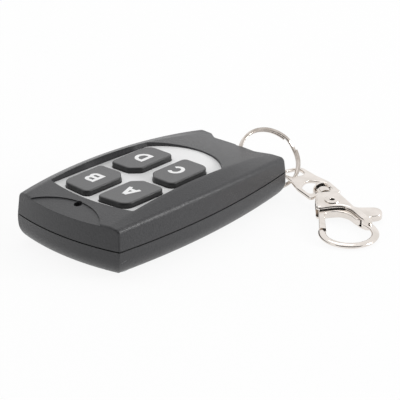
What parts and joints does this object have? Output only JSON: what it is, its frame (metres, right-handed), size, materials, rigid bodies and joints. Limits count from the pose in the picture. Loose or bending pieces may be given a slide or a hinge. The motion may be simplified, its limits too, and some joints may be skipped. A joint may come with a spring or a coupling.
{
  "type": "wireless remote control",
  "caption": "Handheld wireless remote control with lettered keys in a white panel, a split key ring and a swivel clasp with a sprung gate.",
  "frame": {"origin": "middle of the flat back that the remote lies on", "axes": "+Z out of the key face, +Y from the light towards the key ring, X across the keys"},
  "size_m": [0.0653, 0.0746, 0.0148],
  "materials": {
    "case": "fine spark-eroded grain",
    "panel": "satin",
    "key": "satin",
    "board": "solder mask",
    "switch": "matt",
    "plunger": "matt",
    "lamp": "clear tinted",
    "chip": "matt",
    "plated_tin": "satin",
    "copper": "satin",
    "cell": "gloss",
    "screw_steel": "satin",
    "ring_steel": "polished",
    "clasp_nickel": "polished",
    "spring_steel": "bright"
  },
  "bodies": {
    "fob": {"upper_shell": "case", "lower_shell": "case", "face_panel": "panel", "circuit_board": "board", "switch_base_a": "switch", "switch_base_b": "switch", "switch_base_c": "switch", "switch_base_d": "switch", "indicator_led": "lamp", "encoder_chip": "chip", "resonator_can": "plated_tin", "chip_components": "chip", "loop_aerial": "copper", "battery_cell": "cell", "battery_contact_positive": "plated_tin", "battery_contact_negative": "plated_tin", "case_screws": "screw_steel"},
    "key_a": {"button_a": "key", "switch_plunger_a": "plunger"},
    "key_b": {"button_b": "key", "switch_plunger_b": "plunger"},
    "key_c": {"button_c": "key", "switch_plunger_c": "plunger"},
    "key_d": {"button_d": "key", "switch_plunger_d": "plunger"},
    "ring": {"split_ring": "ring_steel"},
    "eye": {"swivel_eye": "clasp_nickel"},
    "hook": {"hook_body": "clasp_nickel", "lever_rivet": "clasp_nickel", "trigger_spring": "spring_steel"},
    "trigger": {"trigger_lever": "clasp_nickel"}
  },
  "joints": [
    {"name": "key_a_press", "type": "slide", "parent": "fob", "child": "key_a", "axis": [0, 0, -1], "range_m": [0, 0.0003], "stiffness_N_per_m": 1500},
    {"name": "key_b_press", "type": "slide", "parent": "fob", "child": "key_b", "axis": [0, 0, -1], "range_m": [0, 0.0003], "stiffness_N_per_m": 1500},
    {"name": "key_c_press", "type": "slide", "parent": "fob", "child": "key_c", "axis": [0, 0, -1], "range_m": [0, 0.0003], "stiffness_N_per_m": 1500},
    {"name": "key_d_press", "type": "slide", "parent": "fob", "child": "key_d", "axis": [0, 0, -1], "range_m": [0, 0.0003], "stiffness_N_per_m": 1500},
    {"name": "ring_swing", "type": "hinge", "parent": "fob", "child": "ring", "pos_m": [0.004, 0.028, 0.0068], "axis": [1, 0, 0], "range_deg": [-3, 5]},
    {"name": "eye_swing", "type": "hinge", "parent": "ring", "child": "eye", "pos_m": [0.01123, 0.03825, 0.0034], "axis": [-0.276, 0.8285, 0.4873], "range_deg": [-4, 4]},
    {"name": "hook_swivel", "type": "hinge", "parent": "eye", "child": "hook", "pos_m": [0.02251, 0.03531, 0.00234], "axis": [0.8277, -0.5583, -0.0558], "continuous": true},
    {"name": "trigger_open", "type": "hinge", "parent": "hook", "child": "trigger", "pos_m": [0.0283, 0.0314, 0.00195], "axis": [0.0463, -0.0312, 0.9984], "range_deg": [0, 22], "stiffness_Nm_per_rad": 0.01, "springref_deg": -17.19}
  ]
}
